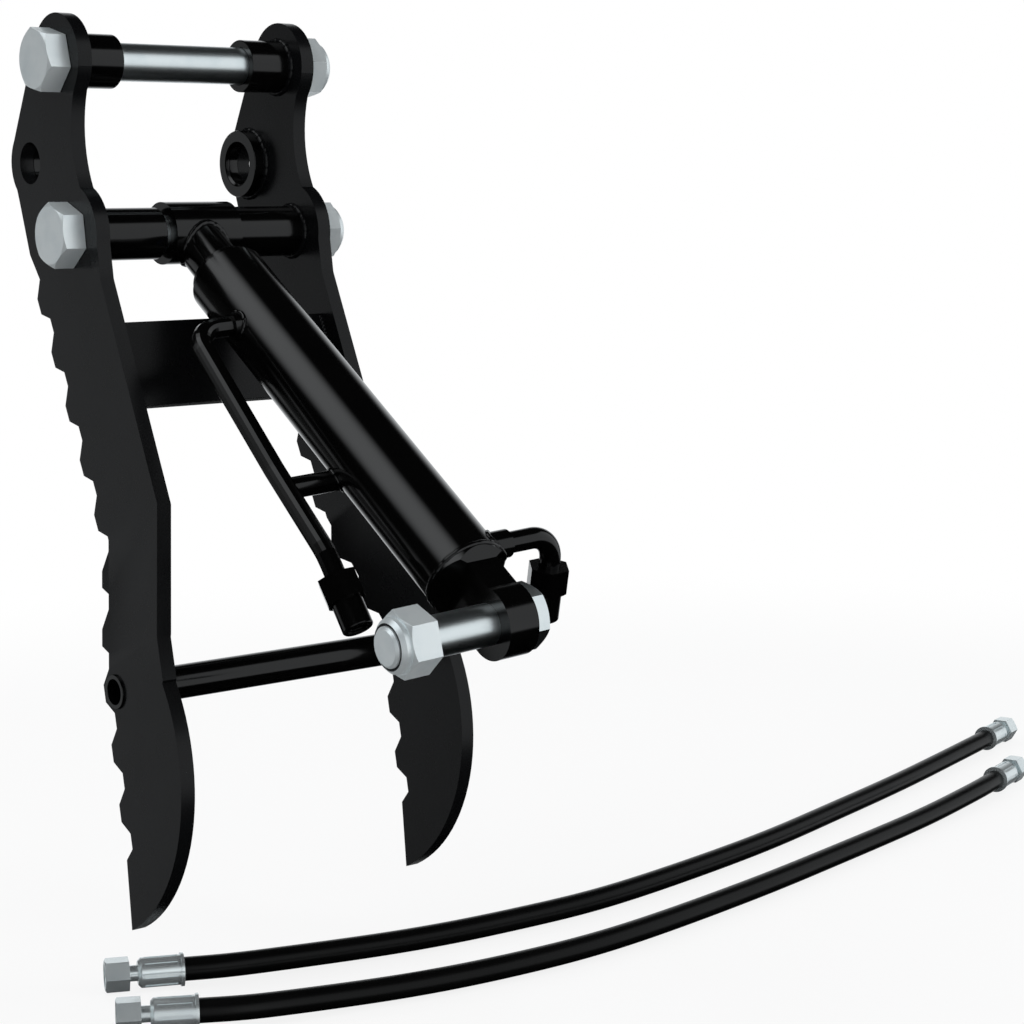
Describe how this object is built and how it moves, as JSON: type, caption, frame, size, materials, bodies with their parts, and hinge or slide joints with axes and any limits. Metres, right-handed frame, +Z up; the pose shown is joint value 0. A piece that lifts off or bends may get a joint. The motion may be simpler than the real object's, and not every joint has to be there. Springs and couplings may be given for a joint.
{
  "type": "excavator thumb",
  "caption": "Hydraulic excavator thumb: toothed side plates joggled apart on a pivot bolt, pushed by a double-acting cylinder with hard lines, with hoses laid beside it.",
  "frame": {"origin": "centre of the main pivot bolt, midway between the side plates", "axes": "+X along the pins from the left plate to the right plate, +Y towards the teeth, +Z up as the thumb hangs from its main pivot"},
  "size_m": [0.995, 0.4146, 0.603],
  "materials": {
    "plate_paint": "satin",
    "gloss_paint": "gloss",
    "zinc_plate": "satin",
    "chrome_rod": "polished",
    "bare_steel": "machined",
    "nylon_insert": "matt",
    "seal_plastic": "satin",
    "hose_rubber": "satin"
  },
  "bodies": {
    "main_pin": {"main_bolt": "zinc_plate", "main_nut": "zinc_plate", "main_nut_insert": "nylon_insert", "hose_1": "hose_rubber", "hose_1_ferrule_near": "zinc_plate", "hose_1_nipple_near": "zinc_plate", "hose_1_ferrule_far": "zinc_plate", "hose_1_nipple_far": "zinc_plate", "hose_2": "hose_rubber", "hose_2_ferrule_near": "zinc_plate", "hose_2_nipple_near": "zinc_plate", "hose_2_ferrule_far": "zinc_plate", "hose_2_nipple_far": "zinc_plate"},
    "thumb_frame": {"side_plate_left": "plate_paint", "side_plate_right": "plate_paint", "pivot_boss_left": "gloss_paint", "pivot_boss_right": "gloss_paint", "middle_boss_left": "gloss_paint", "middle_boss_right": "gloss_paint", "rod_boss_left": "gloss_paint", "rod_boss_right": "gloss_paint", "cross_plate": "plate_paint", "cross_tube": "gloss_paint", "rod_bolt": "zinc_plate", "rod_nut": "zinc_plate", "rod_nut_insert": "nylon_insert"},
    "rod_group": {"rod_eye": "gloss_paint", "piston_rod": "chrome_rod", "piston": "bare_steel", "piston_seal": "seal_plastic", "piston_nut": "zinc_plate"},
    "barrel_group": {"gland": "gloss_paint", "gland_o_ring": "seal_plastic", "rod_seal": "seal_plastic", "rod_wiper": "seal_plastic", "barrel_tube": "gloss_paint", "base_lug": "gloss_paint", "head_port": "gloss_paint", "base_port": "gloss_paint", "head_line": "gloss_paint", "head_line_strut": "gloss_paint", "head_line_nut": "gloss_paint", "head_line_fitting": "gloss_paint", "base_line": "gloss_paint", "base_line_nut": "gloss_paint", "base_line_fitting": "gloss_paint"},
    "base_pin_group": {"base_bolt": "zinc_plate", "base_nut": "zinc_plate", "base_nut_insert": "nylon_insert"},
    "hose_1_near_nut": {"hose_1_nut_near": "zinc_plate"},
    "hose_1_far_nut": {"hose_1_nut_far": "zinc_plate"},
    "hose_2_near_nut": {"hose_2_nut_near": "zinc_plate"},
    "hose_2_far_nut": {"hose_2_nut_far": "zinc_plate"}
  },
  "joints": [
    {"name": "thumb_pivot", "type": "hinge", "parent": "main_pin", "child": "thumb_frame", "pos_m": [0, 0, 0], "axis": [1, 0, 0], "range_deg": [0, 105]},
    {"name": "rod_pivot", "type": "hinge", "parent": "thumb_frame", "child": "rod_group", "pos_m": [0, -0.014, -0.108], "axis": [1, 0, 0], "range_deg": [-102, 0]},
    {"name": "rod_stroke", "type": "slide", "parent": "rod_group", "child": "barrel_group", "axis": [0, -0.8358, -0.549], "range_m": [0, 0.17]},
    {"name": "base_bolt_turn", "type": "hinge", "parent": "barrel_group", "child": "base_pin_group", "pos_m": [0, -0.33161, -0.31663], "axis": [0.9962, -0.0478, 0.0728], "continuous": true},
    {"name": "hose_1_near_nut_turn", "type": "hinge", "parent": "main_pin", "child": "hose_1_near_nut", "pos_m": [-0.11269, -0.08502, -0.5635], "axis": [-0.9063, 0.4226, 0], "continuous": true},
    {"name": "hose_1_far_nut_turn", "type": "hinge", "parent": "main_pin", "child": "hose_1_far_nut", "pos_m": [0.83694, -0.02287, -0.5635], "axis": [0.9563, 0.2924, 0], "continuous": true},
    {"name": "hose_2_near_nut_turn", "type": "hinge", "parent": "main_pin", "child": "hose_2_near_nut", "pos_m": [-0.14327, -0.15123, -0.5635], "axis": [-0.8746, 0.4848, 0], "continuous": true},
    {"name": "hose_2_far_nut_turn", "type": "hinge", "parent": "main_pin", "child": "hose_2_far_nut", "pos_m": [0.7307, -0.11813, -0.5635], "axis": [0.9511, 0.309, 0], "continuous": true}
  ]
}
